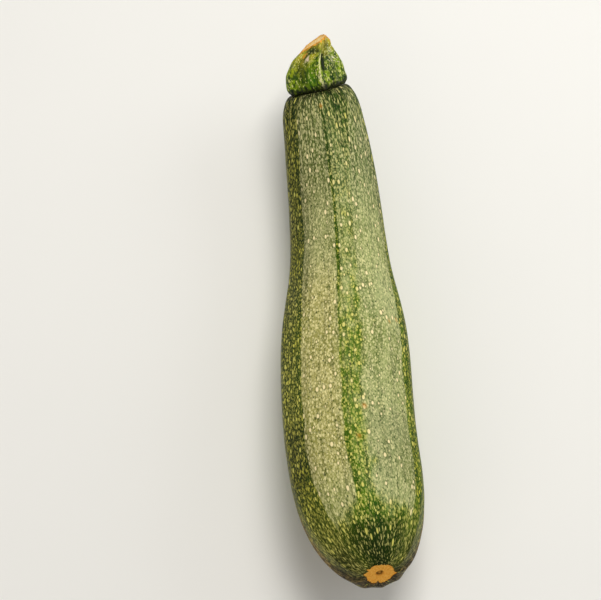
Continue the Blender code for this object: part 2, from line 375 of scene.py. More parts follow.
# Of the pale bands, partly paler skin and partly painted sheen, cool on the right and warm on the
# left
COOL_SAGE_AND_SHEEN = ((136, 146, 80), (160, 168, 110))
WARM_SAGE_AND_SHEEN = ((142, 142, 70), (166, 160, 94))
STREAK_GREEN = (22, 42, 0)
LINE_GREEN = (30, 62, 0)
# Painted shade in the hollows of the shoulder's flutes
PAINTED_FLUTE_SHADE = (10, 18, 0)
PORE_GREEN = (40, 68, 8)
WELL_GREEN = (40, 56, 22)
# Near black, for the painted shade of the darker places
SHADE = (8, 8, 0)

# Of the flecks, the larger spots, the blemishes and the scar
FLECK_YELLOW = ((208, 202, 72), (232, 224, 114))
FLECK_CREAM = ((214, 210, 150), (232, 222, 160))
EARTHY_AND_REFLECTED_FLECK = (206, 156, 84)
LARGE_SPOT_CREAM = ((216, 208, 104), (250, 232, 176))
BLEMISH_BROWN = (206, 140, 50)
CORK_TAN = ((236, 156, 50), (255, 196, 92))
PIT_BROWN = ((70, 50, 14), (150, 112, 46))
SCAR_RIM_BROWN = (146, 90, 26)

# Of the stalk, from its greens to its cut
STALK_GREEN = ((28, 66, 0), (132, 158, 12))
PATCH_GREEN = (20, 46, 0)
STALK_VIVID_GREEN = (66, 120, 0)
STALK_GOLD = ((120, 130, 10), (196, 178, 40))
STALK_YELLOW = (188, 168, 40)
FURROW_GREEN = (22, 44, 0)
# Painted shade in the groove beside each ridge
PAINTED_GROOVE_SHADE = (8, 24, 2)
# Painted shadow under the lip of the cut
PAINTED_LIP_SHADOW = (20, 38, 4)
STALK_PORE_GREEN = (18, 40, 0)
STALK_FLECK_CREAM = (222, 222, 132)
DOT_CREAM = (222, 222, 140)
BRISTLE_CREAM = (232, 222, 190)
RIDGE_CREAM = (226, 220, 160)
RUST = (206, 146, 40)
TORN_FLESH = (226, 204, 176)
FOOT_SHADE = (16, 20, 4)
CUT_CREAM = ((228, 172, 74), (255, 234, 172))
CUT_ORANGE = ((190, 128, 34), (240, 172, 60))

# The studio: a pale floor, and soft lights by name, place and size in metres, power in watts
# and tint
FLOOR_HALF_SIZE = 3.0
FLOOR_PALE = ((236, 235, 232), (240, 239, 236))
SOFT_LIGHTS = (
    ("key", (0.16, 0.30, 0.85), 0.45, 5.4, (1.0, 0.98, 0.93)),
    ("fill", (-0.5, -0.6, 0.45), 0.6, 0.8, (1.0, 0.93, 0.80)),
    ("side", (0.75, 0.30, 0.42), 0.5, 1.6, (0.93, 0.97, 1.0)),
)
WORLD_TINT = (1.0, 0.985, 0.96, 1.0)
WORLD_STRENGTH = 0.36

# The camera, in millimetres and degrees
CAMERA_TARGET = (-11.8, 4.6, 20.0)
CAMERA_DISTANCE = 900
CAMERA_TURN = -5.7
CAMERA_HEIGHT = 68.3
CAMERA_LENS = 163.5


# Curves and random relief


def smooth_through(points, at):
    """Reads the natural cubic spline through points of (x, y) at an array of x."""
    x, y = np.array([p[0] for p in points], float), np.array([p[1] for p in points], float)
    run, rise = np.diff(x), np.diff(y)
    matrix = np.eye(len(x))
    wanted = np.zeros(len(x))
    for k in range(1, len(x) - 1):
        matrix[k, k - 1 : k + 2] = run[k - 1], 2 * (run[k - 1] + run[k]), run[k]
        wanted[k] = 6 * (rise[k] / run[k] - rise[k - 1] / run[k - 1])
    bend = np.linalg.solve(matrix, wanted)
    at = np.asarray(at, float)
    k = np.clip(np.searchsorted(x, at, side="right") - 1, 0, len(x) - 2)
    before, after = at - x[k], x[k + 1] - at
    return (
        (bend[k] * after**3 + bend[k + 1] * before**3) / (6 * run[k])
        + (y[k] / run[k] - bend[k] * run[k] / 6) * after
        + (y[k + 1] / run[k] - bend[k + 1] * run[k] / 6) * before
    )


def smooth_step(value, low, high):
    """0 below low, 1 above high, and an even rise between them."""
    t = np.clip((value - low) / (high - low), 0, 1)
    return t * t * (3 - 2 * t)


def window(value, rise, fall):
    """1 between two soft edges, 0 outside. rise and fall are where each starts and ends."""
    return smooth_step(value, *rise) * (1 - smooth_step(value, *fall))


def bell(aside, width):
    """1 where aside is 0, and less to either side of it, over about that width."""
    return np.exp(-((aside / width) ** 2))


def soft_noise(points, relief):
    """Random heights at the points. relief is how high, over which distance, and a seed."""
    height, distance, seed = relief
    draw = np.random.default_rng(seed)
    heading = draw.normal(size=(NOISE_WAVES, 3))
    heading /= np.linalg.norm(heading, axis=1, keepdims=True)
    pitch = 2 * math.pi / distance * draw.uniform(*NOISE_PITCH, NOISE_WAVES)
    phase = draw.uniform(0, 2 * math.pi, NOISE_WAVES)
    total = np.cos(points @ (heading * pitch[:, None]).T + phase).sum(axis=-1)
    return height * (total / math.sqrt(2 * NOISE_WAVES))


def half_turn(degrees):
    """The same direction as degrees from -180 to 180."""
    return (degrees + 180) % 360 - 180


def from_top(angle):
    """Degrees from the top of the fruit, positive to the right, of an angle in radians."""
    return half_turn(90 - np.degrees(angle))


# The fruit's shape


def spine_height(share):
    low = np.clip(1 - share / SPINE_LOW_SHARE, 0, 1)
    high = np.clip((share - SPINE_LOW_SHARE) / (1 - SPINE_LOW_SHARE), 0, 1)
    return BLOSSOM_END_RISE * low**BLOSSOM_END_CURVE + STALK_END_RISE * high**STALK_END_CURVE


def spine_place(along):
    """Middles of the cross-sections that far from the blossom end, and the spine's course."""
    share = np.clip(along / FRUIT_LENGTH, 0, 1)

    def at(s):
        sideways = smooth_through(SPINE_SIDEWAYS, s)
        return np.stack([sideways, (s - 0.5) * FRUIT_LENGTH, spine_height(s)], axis=-1)

    forward = at(np.minimum(share + SPINE_STEP, 1)) - at(np.maximum(share - SPINE_STEP, 0))
    forward /= np.linalg.norm(forward, axis=-1, keepdims=True)
    beyond = along - share * FRUIT_LENGTH
    return at(share) + beyond[..., None] * forward, forward


def ring_axes(forward):
    """Two directions across the spine: to the right and upward."""
    right = np.cross(forward, (0.0, 0.0, 1.0))
    right /= np.linalg.norm(right, axis=-1, keepdims=True)
    return right, np.cross(right, forward)


def girth(along, angle):
    """Radius of the fruit that far from the blossom end, dome and shoulder included."""
    radius = BELLY_RADIUS * smooth_through(GIRTH, np.clip(along / FRUIT_LENGTH, 0, 1))
    left = np.clip(1 - along / DOME_LENGTH, 0, 1)
    power = DOME_POWER + (DOME_POWER_BELOW - DOME_POWER) * np.maximum(-np.sin(angle), 0) ** 2
    dome = (1 - left**power) ** (1 / power)
    radius = np.hypot(radius * dome, SCAR_RADIUS * left**3)
    past = np.clip((along - FRUIT_LENGTH + SHOULDER_LENGTH) / SHOULDER_LENGTH, 0, 1)
    return SEAT_RADIUS + (radius - SEAT_RADIUS) * np.sqrt(1 - past**2)


def seat_lean(along):
    """How far the cross-section leans back there, from its top and from its right side."""
    share = np.clip(1 - (FRUIT_LENGTH - along) / SEAT_TILT_REACH, 0, 1) ** 2
    return math.tan(SEAT_TILT) * share, math.tan(SEAT_TURN) * share


def fruit_stations(angle):
    """Rings from the middle of the scar to the middle of the seat: along, radii, on the scar."""
    disc = SCAR_RADIUS * np.arange(SCAR_STEPS + 1) / SCAR_STEPS
    dome = DOME_LENGTH * (np.arange(1, DOME_STEPS + 1) / DOME_STEPS) ** 2
    start = FRUIT_LENGTH - SHOULDER_LENGTH
    body = np.linspace(DOME_LENGTH, start, BODY_STEPS + 1)[1:]
    turn = np.linspace(0, math.pi / 2, SHOULDER_STEPS + 1)[1:]
    skin = np.concatenate([dome, body, start + SHOULDER_LENGTH * np.sin(turn)])
    seat = SEAT_RADIUS * np.array(SEAT_RINGS)
    along = np.concatenate([np.interp(disc, *zip(*SCAR_PROFILE)), skin, FRUIT_LENGTH + 0 * seat])
    even = [ring[:, None] + 0 * angle for ring in (disc, seat)]
    radius = np.concatenate([even[0], girth(skin[:, None], angle), even[1]])
    return along[:, None], radius, np.arange(len(along))[:, None] <= SCAR_STEPS


def rib_relief(angle):
    """0 on a rib and RIB_ROUNDING in the middle of a face, at an array of angles."""
    edges = np.array(RIB_ANGLES + (360,), float)
    turned = (np.degrees(angle) - 90) % 360
    face = np.searchsorted(edges, turned, side="right") - 1
    across = np.abs(2 * (turned - edges[face]) / (edges[face + 1] - edges[face]) - 1)
    c = RIB_ROUNDING
    crest = c * c + 2 * c * (across - c) - c / (1 - c) * (across - c) ** 2
    return c - np.where(across < c, across**2, crest)


def scar_edge(angle):
    """How far the ragged edge of the scar stands out, as a share of its radius."""
    edge = SCAR_EDGE - 1 + SCAR_FRAY * np.sin(17 * angle + 3 * np.sin(5 * angle))
    for middle, height, width in SCAR_TABS:
        edge = edge + height * bell(half_turn(np.degrees(angle) - middle), width)
    return edge


def pattern_places(along, radius, angle):
    """Places on the skin for its patterns, which are drawn out along the fruit.

    Also returns how far along the skin each ring is, from 0 to 1.
    """
    reach = BELLY_RADIUS * (radius / BELLY_RADIUS) ** FLECK_CROWDING
    ends = np.exp(-along / FLECK_LOSS_REACH) + np.exp(-(FRUIT_LENGTH - along) / FLECK_LOSS_REACH)
    neck = smooth_step(along / FRUIT_LENGTH, *FLECK_NECK)
    rate = FLECK_RATE - FLECK_RATE_LOSS * ends - FLECK_NECK_LOSS * neck * (1 - ends)
    typical = radius.mean(axis=1)
    path = np.hypot(np.diff(along[:, 0], prepend=0), np.diff(typical, prepend=0))
    stretched = np.cumsum(path * rate[:, 0])[:, None] + 0 * angle
    straight = np.stack([reach * np.cos(angle), reach * np.sin(angle), stretched], axis=-1)
    return straight, np.cumsum(path) / path.sum()


def fruit_surface():
    """Points of the fruit's skin as rings by angles, from the scar to the seat.

    Also returns how far along the skin each ring is, from 0 to 1, and its patterns' values.
    """
    angle = -math.pi / 2 + 2 * math.pi * np.arange(FRUIT_STEPS_ROUND) / FRUIT_STEPS_ROUND
    along, radius, on_scar = fruit_stations(angle)
    on_dome = along < DOME_LENGTH
    middle, forward = spine_place(along[:, 0])
    right, up = ring_axes(forward)

    # Ribs, the scar's tabs, flutes and random relief
    relief = 1 + (RIBS_AT_SCAR - 1) * np.exp(-along / RIBS_AT_SCAR_REACH)
    relief = np.where(on_scar, RIBS_ON_SCAR * radius / SCAR_RADIUS, relief)
    r = radius * (1 - FACE_HOLLOW * relief * rib_relief(angle))
    past_edge = bell(radius - SCAR_RADIUS, SCAR_TAB_REACH) * on_dome
    near_edge = np.where(on_scar, (radius / SCAR_RADIUS) ** 3, past_edge)
    r = r * (1 + scar_edge(angle) * near_edge)
    shoulder = np.exp(-(FRUIT_LENGTH - along) / FLUTE_REACH) * (radius > SEAT_RADIUS)
    flute = shoulder * (0.5 + 0.5 * np.cos(FLUTES * angle + 2 * np.sin(3 * angle))) ** 3
    r = r - FLUTE_DEPTH * flute
    straight, length = pattern_places(along, radius, angle)
    rough = soft_noise(straight, SWELLING) + soft_noise(straight, DIMPLES)
    r = r + rough * np.minimum(1, radius / (2 * SCAR_RADIUS))

    # Their places in space, where the rings lean back towards the seat
    across = r * WIDER_THAN_HIGH * np.cos(angle)
    above = r / WIDER_THAN_HIGH * np.sin(angle)
    tilt, aside = seat_lean(along)
    sideways, upward = (right + aside * forward)[:, None], (up - tilt * forward)[:, None]
    points = middle[:, None] + across[..., None] * sideways + above[..., None] * upward
    cork = soft_noise(points, SCAR_CORK) * on_scar * (radius > 0)
    points = points + cork[..., None] * forward[:, None]
    lift = SCAR_LIFT * bell(np.maximum(radius - SCAR_RADIUS, 0), SCAR_LIFT_REACH) * on_dome
    points = points + lift[..., None] * up[:, None]
    share = np.clip(along / FRUIT_LENGTH, 0, 1) + 0 * angle
    values = skin_patterns(share, from_top(angle) + 0 * share, straight)
    values |= {
        "straight": straight / MM,
        "flute": flute + 0 * angle,
        "scar": np.where(on_scar, smooth_step(radius / SCAR_RADIUS, *SCAR_FADE), 0),
        "scar_depth": np.where(on_scar, np.clip(along / SCAR_PIT_DEPTH, 0, 1), 0) + 0 * angle,
    }
    return points, length, values


# The skin's patterns


def line_through(points, at):
    """Reads the bent line through points of (x, y) at an array of x."""
    return np.interp(at, *zip(*points))


def edge_wobble(straight):
    """Degrees by which the bands' edges and the lines wander."""
    return soft_noise(straight, EDGE_WANDER) + soft_noise(straight, FINER_EDGE_WANDER)


def dark_line(share, turned, straight):
    """1 in a dark line of the skin, 0 outside."""
    lines = np.zeros_like(share)
    wandered = turned + LINE_WANDER * edge_wobble(straight)
    for middle, width, depth, start, end in DARK_LINES:
        run = window(share, (start, start + LINE_FADE), (end - LINE_FADE, end))
        lines = np.maximum(lines, depth * bell(wandered - middle, width) * run)
    return lines


def paleness_and_sheen(share, turned, straight):
    """1 in a pale band of the skin, whose paleness is partly painted sheen, 0 outside, soft at the
    edges.
    """
    wobble = edge_wobble(straight)
    pale_and_sheen = np.zeros_like(share)
    for strength, left, right, left_soft, right_soft in PALE_AND_SHEEN_BANDS:
        inside = smooth_step(turned - line_through(left, share) + wobble, -left_soft, left_soft)
        outside = smooth_step(turned - line_through(right, share) + wobble, -right_soft, right_soft)
        pale_and_sheen = np.maximum(pale_and_sheen, strength * inside * (1 - outside))
    pale_and_sheen = np.maximum(pale_and_sheen, window(turned, *STRIPE_EDGES) * line_through(STRIPE_PALENESS_AND_SHEEN, share))
    pale_and_sheen = pale_and_sheen * (1 - dark_line(share, turned, straight))
    pale_and_sheen = pale_and_sheen * (1 - BANDS_LOSS_AT_SHOULDER * smooth_step(share, *BANDS_SHOULDER))
    past_start = share + soft_noise(straight, START_WANDER) - line_through(BANDS_START, turned)
    return pale_and_sheen * smooth_step(past_start, -BANDS_START_FADE, BANDS_START_FADE)


def vivid_stripe(share, turned, straight):
    """1 where the dark stripe along the top of the belly is yellow-green."""
    across = window(turned + edge_wobble(straight), *VIVID_EDGES)
    return across * window(share, *VIVID_ENDS)


def darker_tone_and_shade(share, turned):
    """How much darker the skin is there than its colours, partly its own tone and partly painted
    shade.
    """
    light = np.ones_like(share)
    for depth, place, length, middle, width in DARK_TONE_AND_SHADE_PLACES:
        along = 1 - smooth_step(np.abs(share - place) / length, *PLACE_ENDS_FADE)
        across = 1 - smooth_step(np.abs(half_turn(turned - middle)) / width, *PLACE_SIDES_FADE)
        light = light * (1 - depth * along * across)
    return 1 - light


def blemish(share, turned):
    """Small corky spots of the skin."""
    total = np.zeros_like(share)
    for place, degrees, size in BLEMISHES:
        across = np.radians(turned - degrees) * BELLY_RADIUS
        along = (share - place) * FRUIT_LENGTH
        total += bell(along, size) * bell(across, BLEMISH_WIDTH * size)
    return np.clip(total, 0, 1)


def skin_patterns(share, turned, straight):
    """Values of the patterns at those shares of the length and degrees from the top."""
    # The blossom end's middle is darker, partly painted shade, and its flanks carry painted light
    near_middle = bell(turned - DARK_END_MIDDLE, DARK_END_WIDTH)
    dark_middle = DARK_END_LEAST + (1 - DARK_END_LEAST) * near_middle
    lit_flank_end = LIT_FLANK_END + LIT_FLANK_END_FURTHER * smooth_step(-turned, *LIT_FLANK_LEFT_SIDE)
    warm = WARM_BEFORE + (1 - WARM_BEFORE) * smooth_step(share, *WARM_STARTS)
    warm = warm * (1 - WARM_LOSS_AFTER * smooth_step(share, *WARM_ENDS))
    low_sides = smooth_step(np.abs(turned), *EARTHY_AND_REFLECTION_SIDES)
    return {
        "pale_and_sheen": paleness_and_sheen(share, turned, straight),
        "line": dark_line(share, turned, straight),
        "vivid": vivid_stripe(share, turned, straight),
        "olive": bell(turned - OLIVE_SIDE, OLIVE_WIDTH),
        "warm": (1 - smooth_step(turned, *WARM_SIDE)) * warm,
        "blossom_end": (1 - smooth_step(share, *BLOSSOM_END)) * dark_middle,
        "painted_lit_flank": (1 - smooth_step(share, LIT_FLANK_START, lit_flank_end)) * (1 - dark_middle),
        "earthy_and_warm_reflection": (1 - smooth_step(share, *EARTHY_AND_REFLECTION_END)) * low_sides,
        "shade": darker_tone_and_shade(share, turned),
        "neck": smooth_step(share, *NECK),
        "shoulder": smooth_step(share, *SHOULDER),
        "blemish": blemish(share, turned),
    }


# The stalk's shape


def stalk_section(height, angle):
    """Across and above the stalk's middle line, on its surface at that height and angle."""
    rows = [[(p[0], p[column]) for p in STALK_PROFILE] for column in (1, 2)]
    width, depth = [smooth_through(row, height) for row in rows]
    turn = STALK_RIBS * (angle - STALK_RIB_TURN)
    crest = np.abs(np.cos(turn / 2)) ** RIB_SHARPNESS
    furrow = FURROW_DEPTH + (FURROW_DEPTH_AT_FOOT - FURROW_DEPTH) * np.exp(-height / FOOT_FADE)
    swell = 1 - furrow * (FURROW_SHARE_OUTWARD - crest) + LESSER_RIB * np.cos(2 * turn)
    across, above = swell * width * np.cos(angle), swell * depth * np.sin(angle)
    return across, above, crest + 0 * across


def cut_height(across, above):
    """Height of the slanted knife cut at that place, which is broken off at its tip."""
    bevel = CUT_BEVEL * np.maximum(across - CUT_BEVEL_FROM, 0)
    return CUT_MIDDLE + CUT_RISE_RIGHT * across - CUT_FALL_TOP * above - bevel


def stalk_top(angle):
    """Height at which the knife cut meets that side of the stalk."""
    height = np.full_like(angle, CUT_MIDDLE)
    for _ in range(CUT_TRIES):
        across, above, _ = stalk_section(height, angle)
        height = cut_height(across, above)
    return height


def seat_axes():
    """The middle of the seat, the way it faces, and its directions: to the right and upward."""
    end, course = [value[0] for value in spine_place(np.array([FRUIT_LENGTH]))]
    right, up = ring_axes(course)
    right = right + math.tan(SEAT_TURN) * course
    up = up - math.tan(SEAT_TILT) * course
    forward = np.cross(up, right)
    forward /= np.linalg.norm(forward)
    right /= np.linalg.norm(right)
    return end, forward, right, np.cross(right, forward)


def stalk_ridges(angle, height):
    """1 on the sharp ridge of each rib of the stalk, and 1 in the groove beside it."""
    turned = np.degrees(angle - STALK_RIB_TURN)
    rib = np.round(turned / (360 / STALK_RIBS))
    wander = np.sin(height / RIDGE_WANDER_OVER + RIDGE_SHIFT * rib)
    aside = turned - rib * 360 / STALK_RIBS + RIDGE_WANDER * wander
    aside = aside + RIDGE_LEAN * smooth_step(height, *RIDGE_LEANS)
    strength = np.where(rib == MAIN_RIB, 1, OTHER_RIBS)
    width = RIDGE_WIDTH + (RIDGE_WIDTH_AT_FOOT - RIDGE_WIDTH) * np.exp(-height / RIDGE_FOOT_REACH)
    ridge = strength * (1 - smooth_step(height, *RIDGE_ENDS)) * bell(aside, width)
    groove = strength * window(height, GROOVE_STARTS, GROOVE_ENDS)
    return ridge, groove * bell(aside + GROOVE_ASIDE, GROOVE_WIDTH)


def spot(angle, height, place):
    """1 in the middle of that spot of the stalk, and less around it."""
    degrees, middle, half_width, half_height = place
    across = bell(half_turn(np.degrees(angle) - degrees), half_width)
    return across * bell(height - middle * MM, half_height * MM)


def stalk_surface():
    """Points of the stalk as rings by angles, from under its foot to the middle of the cut.

    Also returns how far along the stalk each ring is, from 0 to 1, and its patterns' values.
    """
    angle = -math.pi / 2 + 2 * math.pi * np.arange(STALK_STEPS_ROUND) / STALK_STEPS_ROUND
    top = stalk_top(angle)
    share = np.linspace(0, 1, STALK_STEPS_UP + 1)[:, None] ** STALK_CROWDING
    side_height = share * top
    side_x, side_z, crest = stalk_section(side_height, angle)
    inward = np.linspace(1, 0, CUT_STEPS + 1)[1:, None]
    cut_x, cut_z = inward * side_x[-1], inward * side_z[-1]
    cut_y = cut_height(cut_x, cut_z) - CUT_DISH * (1 - inward**4)
    under = np.array(UNDER_FOOT_RINGS)[:, None]
    none_under = 0 * under + 0 * angle
    x = np.concatenate([under * side_x[0], side_x, cut_x])
    z = np.concatenate([under * side_z[0], side_z, cut_z])
    height = np.concatenate([none_under, side_height, cut_y])
    ring = np.arange(len(x))[:, None]
    last_of_side = len(under) + STALK_STEPS_UP
    on_cut = ring > last_of_side
    on_side = (ring >= len(under)) & ~on_cut

    # Relief of the side, which carries the rim of the cut with it
    ridge, groove = stalk_ridges(angle, height)
    local = np.stack([x, z, height], axis=-1)
    lumps = soft_noise(local * (1, 1, STALK_LUMPS_RATE), STALK_LUMPS)
    fibres = soft_noise(local * (1, 1, STALK_FIBRES_RATE), STALK_FIBRES)
    relief = lumps + fibres + RIDGE_HEIGHT * ridge - GROOVE_DEPTH * groove
    grow = np.where(on_side, relief / np.maximum(np.hypot(x, z), MM), 0)
    grow = np.where(on_cut, grow[last_of_side], grow)
    x, z = x * (1 + grow), z * (1 + grow)
    height = height + np.where(on_cut, FIBRES_ON_CUT * fibres, 0)

    # Their places in space, on the seat
    end, forward, right, up = seat_axes()
    sideways = smooth_through([(p[0], p[3]) for p in STALK_PROFILE], height)
    points = end + SEAT_GAP * forward + height[..., None] * forward
    points = points + (x + sideways)[..., None] * right + z[..., None] * up
    steps = np.linalg.norm(np.diff(points, axis=0), axis=-1).mean(axis=1)
    length = np.concatenate([[0], np.cumsum(steps)]) / steps.sum()
    near_cut = np.clip(1 - (top - height) / CUT_FRAY_REACH, 0, 1)
    values = {name: spot(angle, height, place) * ~on_cut for name, place in STALK_SPOTS.items()}
    values |= {
        "crest": np.concatenate([none_under, crest, np.broadcast_to(crest[-1], cut_x.shape)]),
        "ridge": ridge * ~on_cut,
        "groove": groove * ~on_cut,
        "speckled": smooth_step(np.cos(angle - SPECKLED_SIDE), *SPECKLED_REACH) * ~on_cut,
        "up_share": np.maximum(height / CUT_MIDDLE, 0),
        "cut": on_cut + 0 * angle,
        "near_cut": np.where(on_cut, 1, near_cut),
        "rim": np.concatenate([none_under, 0 * side_x, inward + 0 * angle]),
        "local": np.stack([x, z, STALK_LUMPS_RATE * height], axis=-1) / MM,
    }
    return points, length, values


# Meshes


def laid_down(points):
    """The points turned about X, so that the stalk end sinks by the lying pitch."""
    c, s = math.cos(LYING_PITCH), math.sin(LYING_PITCH)
    return points @ np.array([[1, 0, 0], [0, c, s], [0, -s, c]]).T


def to_frame(fruit, stalk):
    """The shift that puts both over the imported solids, with a thin slice below z = 0."""
    points = np.concatenate([fruit.reshape(-1, 3), stalk.reshape(-1, 3)])
    middle = (points.min(axis=0) + points.max(axis=0)) / 2
    lows, highs = zip(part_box("fruit"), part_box("stalk"))
    packed = (np.min(lows, axis=0) + np.max(highs, axis=0)) / 2
    return np.array([*(packed - middle)[:2], -points[..., 2].min() - GROUND_SPOT_CUT])


def one_at_tips(values):
    """Rings of values one after another, with a single one for the first and the last ring."""
    inner = values[1:-1].reshape(-1, values.shape[2])
    return np.concatenate([values[:1, 0], inner, values[-1:, 0]])


def add_map(data, count, length):
    """Lays the map: round the piece, and along it from its first ring to its last."""
    corners = np.zeros(len(data.loops), np.int32)
    data.loops.foreach_get("vertex_index", corners)
    sizes = np.zeros(len(data.polygons), np.int32)
    data.polygons.foreach_get("loop_total", sizes)
    ring, step = (corners - 1) // count + 1, (corners - 1) % count
    column = np.repeat(np.tile(np.arange(count), len(length) - 1), sizes)
    u = np.where((step == 0) & (column == count - 1), count, step)
    u = np.where((ring == 0) | (ring == len(length) - 1), column + 0.5, u) / count
    layer = data.uv_layers.new(name="OFBake")
    layer.data.foreach_set("uv", np.stack([u, length[ring]], axis=-1).astype(np.float32).ravel())


def ring_mesh(name, points, length, values):
    """A closed mesh over rings of points, whose first and last rings are single points.

    The material reads values at the points. length is how far along each ring is.
    """
    rings, count = points.shape[:2]
    inner = np.arange(1, 1 + (rings - 2) * count).reshape(rings - 2, count)
    tip = 1 + inner.size
    low, high = inner[:-1], inner[1:]
    quads = np.stack([low, high, np.roll(high, -1, 1), np.roll(low, -1, 1)], axis=-1)
    starts = [(0, int(a), int(b)) for a, b in zip(inner[0], np.roll(inner[0], -1))]
    ends = [(int(a), tip, int(b)) for a, b in zip(inner[-1], np.roll(inner[-1], -1))]
    data = bpy.data.meshes.new(name)
    faces = starts + quads.reshape(-1, 4).tolist() + ends
    data.from_pydata(one_at_tips(points).tolist(), [], faces)
    for key, value in values.items():
        listed = one_at_tips(value.reshape(rings, count, -1))
        kind, field = ("FLOAT_VECTOR", "vector") if listed.shape[1] == 3 else ("FLOAT", "value")
        attribute = data.attributes.new(key, kind, "POINT")
        attribute.data.foreach_set(field, listed.astype(np.float32).ravel())
    add_map(data, count, length)
    data.shade_smooth()
    data.update()
    return data


# Materials


def colour(red, green, blue):
    """A colour for a shader from its values out of 255 on a screen."""
    shares = [value / 255 for value in (red, green, blue)]
    linear = [s / 12.92 if s <= 0.04045 else ((s + 0.055) / 1.055) ** 2.4 for s in shares]
    return (*linear, 1.0)


class Shader:
    """Builds one material. Each method adds a node and returns what comes out of it."""

    def __init__(self, name):
        self.material = bpy.data.materials.new(name)
        self.material.use_nodes = True
        self.tree = self.material.node_tree
        self.surface = self.tree.nodes["Principled BSDF"].inputs

    def feed(self, socket, value):
        """value may be the name of a number that the mesh holds at its points."""
        if isinstance(value, str):
            value = self.node("ShaderNodeAttribute", {}, attribute_name=value).outputs["Fac"]
        if isinstance(value, bpy.types.NodeSocket):
            self.tree.links.new(value, socket)
        else:
            socket.default_value = value

    def node(self, kind, inputs, **settings):
        made = self.tree.nodes.new(kind)
        for name, value in settings.items():
            setattr(made, name, value)
        for socket, value in inputs.items():
            self.feed(made.inputs[socket], value)
        return made

    def place(self, name):
        """A place that the mesh holds at its points, in millimetres."""
        return self.node("ShaderNodeAttribute", {}, attribute_name=name).outputs["Vector"]

    def drawn_out(self, place, rate):
        """The place with its third part scaled, which draws a pattern out along the piece."""
        inputs = {0: place, 1: (1, 1, rate)}
        return self.node("ShaderNodeVectorMath", inputs, operation="MULTIPLY").outputs[0]

    def reckon(self, operation, a, b=0.0):
        return self.node("ShaderNodeMath", {0: a, 1: b}, operation=operation).outputs[0]

    def sum(self, a, b):
        return self.reckon("ADD", a, b)

    def less(self, a, b):
        return self.reckon("SUBTRACT", a, b)

    def times(self, a, b):
        return self.reckon("MULTIPLY", a, b)

    def most(self, first, *others):
        """The largest of the values."""
        for other in others:
            first = self.reckon("MAXIMUM", first, other)
        return first

    def weighted(self, base, *parts):
        """base and each part's value times its weight, added up."""
        for value, weight in parts:
            base = self.sum(base, self.times(value, weight))
        return base

    def step(self, value, low, high, start=0.0, end=1.0):
        """A smooth rise from start to end as the value goes from low to high."""
        inputs = {0: value, 1: low, 2: high, 3: start, 4: end}
        made = self.node("ShaderNodeMapRange", inputs, interpolation_type="SMOOTHSTEP")
        return made.outputs[0]

    def mix(self, a, b, share):
        """a where the share is 0, and b where it is 1. Either may be values out of 255."""
        a, b = [colour(*side) if isinstance(side, tuple) else side for side in (a, b)]
        return self.node("ShaderNodeMix", {0: share, 6: a, 7: b}, data_type="RGBA").outputs[2]

    def between(self, colours, value, low, high):
        """The first of two colours turning into the second as the value goes from low to high."""
        return self.mix(*colours, self.step(value, low, high))

    def over(self, base, *layers):
        """A colour under layers, each of them a colour and its share."""
        for layer, share in layers:
            base = self.mix(base, layer, share)
        return base

    def noise(self, place, per_mm, detail=2.0):
        inputs = {"Vector": place, "Scale": per_mm, "Detail": detail}
        return self.node("ShaderNodeTexNoise", inputs).outputs["Fac"]

    def cells(self, place, per_mm, size, uneven):
        """Distance to the nearest spot's middle as a share of its radius, and a random value.

        size is the largest radius as a share of a cell.
        """
        found = self.node("ShaderNodeTexVoronoi", {"Vector": place, "Scale": per_mm})
        split = self.node("ShaderNodeSeparateColor", {0: found.outputs["Color"]})
        radius = self.times(self.weighted(1 - uneven, (split.outputs[0], uneven)), size)
        return self.reckon("DIVIDE", found.outputs["Distance"], radius), split.outputs[1]

    def spots(self, place, size, layer):
        """One of the layers of round spots: 1 inside, 0 outside. size is as for cells."""
        per_mm, uneven, soft, dim = layer
        away, random = self.cells(place, per_mm, size, uneven)
        return self.times(self.step(away, 1.0, 1 - soft), self.weighted(1 - dim, (random, dim)))

    def bump(self, height, strength, distance):
        inputs = {"Height": height, "Strength": strength, "Distance": distance}
        self.feed(self.surface["Normal"], self.node("ShaderNodeBump", inputs).outputs["Normal"])


def rows_round(s, place, wander):
    """Rows along the fruit: 1 in the middle of each and 0 between them."""
    parts = s.node("ShaderNodeSeparateXYZ", {0: place}).outputs
    turn = s.sum(s.times(s.reckon("ARCTAN2", parts[1], parts[0]), FLECK_ROWS), wander)
    return s.weighted(0.5, (s.reckon("SINE", turn), 0.5))


def skin_streaks(s, place, ends):
    """Streaks along the fruit, in rows on the neck, at the ends and on the olive side."""
    drawn = s.drawn_out(place, STREAK_RATE)
    streak = s.noise(drawn, 0.95)
    rows = s.weighted(0.12, (rows_round(s, place, s.times(s.noise(drawn, 0.3), 14.0)), 0.8))
    on_neck, on_olive = s.times("neck", 0.85), s.times("olive", 0.4)
    in_rows = s.most(on_neck, on_olive, s.times(ends, 0.85))
    return s.sum(streak, s.times(in_rows, s.less(rows, streak)))


